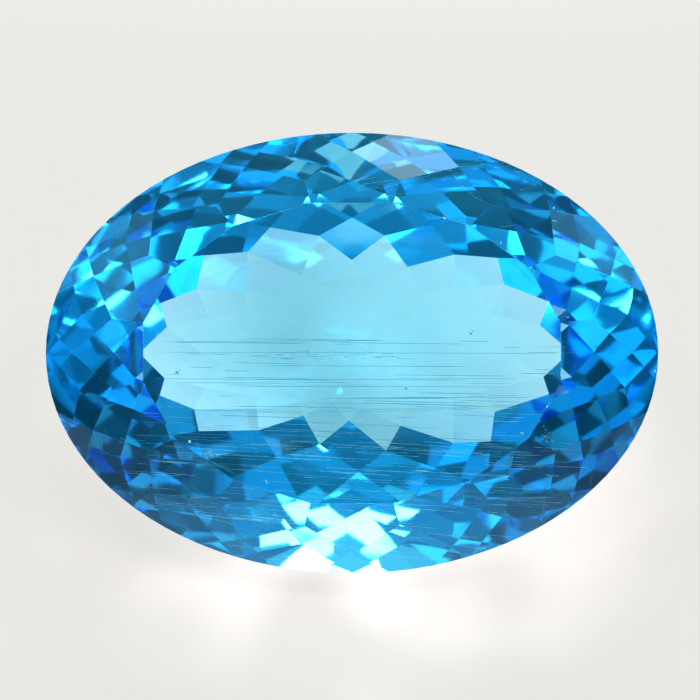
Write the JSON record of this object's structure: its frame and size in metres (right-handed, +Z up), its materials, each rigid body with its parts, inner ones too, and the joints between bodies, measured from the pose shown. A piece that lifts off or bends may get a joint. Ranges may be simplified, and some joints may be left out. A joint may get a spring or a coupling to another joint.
{
  "type": "faceted oval topaz gemstone",
  "caption": "Large oval mixed-facet blue topaz: flat table, faceted crown, thin girdle and deep faceted pavilion, lying on one pavilion facet.",
  "frame": {"origin": "on the resting surface, under the middle of the stone's footprint", "axes": "+X along the stone's long axis, +Z up, the table facing -Y and up at about 40 degrees from level"},
  "size_m": [0.0276, 0.0162, 0.0148],
  "materials": {
    "blue_topaz": "polished clear sky-blue gem"
  },
  "bodies": {
    "root": {"topaz": "blue_topaz"}
  },
  "joints": []
}
